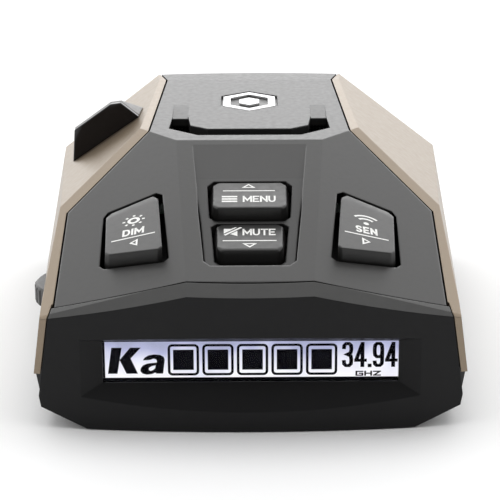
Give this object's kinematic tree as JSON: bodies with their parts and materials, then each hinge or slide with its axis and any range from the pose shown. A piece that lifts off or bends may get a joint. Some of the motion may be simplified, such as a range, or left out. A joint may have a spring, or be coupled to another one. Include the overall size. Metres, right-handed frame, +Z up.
{
  "type": "radar detector",
  "caption": "Wedge-shaped windshield radar detector: sloped key deck, wide segment display, bracket slot, rear sensor hood and side volume wheel.",
  "frame": {"origin": "middle of the flat underside of the base housing", "axes": "+Z up, -Y towards the viewer at the display, +Y towards the lens and horn, +X to the right of someone looking at the display"},
  "size_m": [0.0824, 0.107, 0.0419],
  "materials": {
    "cover_grey": "fine satin grey moulding",
    "shell_bronze": "glossy bronze lacquer",
    "base_black": "fine matte black moulding",
    "bezel_black": "satin near-black moulding",
    "window_clear": "clear acrylic pane",
    "lcd_pale": "pale lavender display glass",
    "backlight_white": "milky light guide",
    "board_green": "green solder mask",
    "component_black": "moulded black epoxy",
    "key_grey": "satin grey keys with printed legends",
    "plunger_ivory": "natural nylon",
    "sleeve_blue": "shrink sleeve",
    "cast_metal": "as-cast zinc",
    "tin_plate": "tinned sheet steel",
    "lens_dark": "polished dark lens",
    "lens_red": "clear red condenser",
    "hood_grey": "satin grey moulding",
    "wheel_grey": "grooved grey wheel",
    "shaft_steel": "bright steel",
    "magnet_dark": "sintered ferrite",
    "cone_black": "doped paper cone",
    "emblem_silver": "bright metal inlay",
    "screw_black": "black zinc",
    "label_silver": "blank silver label"
  },
  "bodies": {
    "body": {"top_cover": "cover_grey", "side_shell_left": "shell_bronze", "side_shell_right": "shell_bronze", "base_housing": "base_black", "display_bezel": "bezel_black", "display_window": "window_clear", "lcd_glass": "lcd_pale", "lcd_backlight": "backlight_white", "display_board": "board_green", "display_header": "component_black", "tact_switches": "component_black", "key_board": "board_green", "key_board_header": "component_black", "main_board": "board_green", "board_chips": "component_black", "filter_capacitors": "sleeve_blue", "horn_antenna": "cast_metal", "rf_shield": "tin_plate", "front_lens": "lens_dark", "front_laser_lens": "lens_red", "front_laser_sensor": "component_black", "rear_laser_hood": "hood_grey", "rear_laser_lens": "lens_dark", "rear_laser_sensor": "component_black", "volume_pot": "component_black", "speaker_basket": "tin_plate", "speaker_magnet": "magnet_dark", "speaker_cone": "cone_black", "power_socket": "component_black", "mount_socket": "base_black", "emblem": "emblem_silver", "housing_screws": "screw_black", "board_screws": "shaft_steel", "rating_plate": "label_silver"},
    "key_menu": {"button_menu": "key_grey", "plunger_menu": "plunger_ivory"},
    "key_mute": {"button_mute": "key_grey", "plunger_mute": "plunger_ivory"},
    "key_dim": {"button_dim": "key_grey", "plunger_dim": "plunger_ivory"},
    "key_sen": {"button_sen": "key_grey", "plunger_sen": "plunger_ivory"},
    "volume": {"volume_wheel": "wheel_grey", "volume_shaft": "shaft_steel"}
  },
  "joints": [
    {"name": "menu_press", "type": "slide", "parent": "body", "child": "key_menu", "axis": [0, 0.2189, -0.9757], "range_m": [0, 0.0006], "stiffness_N_per_m": 2500},
    {"name": "mute_press", "type": "slide", "parent": "body", "child": "key_mute", "axis": [0, 0.2189, -0.9757], "range_m": [0, 0.0006], "stiffness_N_per_m": 2500},
    {"name": "dim_press", "type": "slide", "parent": "body", "child": "key_dim", "axis": [0, 0.2189, -0.9757], "range_m": [0, 0.0006], "stiffness_N_per_m": 2500},
    {"name": "sen_press", "type": "slide", "parent": "body", "child": "key_sen", "axis": [0, 0.2189, -0.9757], "range_m": [0, 0.0006], "stiffness_N_per_m": 2500},
    {"name": "volume_turn", "type": "hinge", "parent": "body", "child": "volume", "pos_m": [-0.0327, -0.0351, 0.0212], "axis": [0, 0, 1], "range_deg": [-140, 140]}
  ]
}
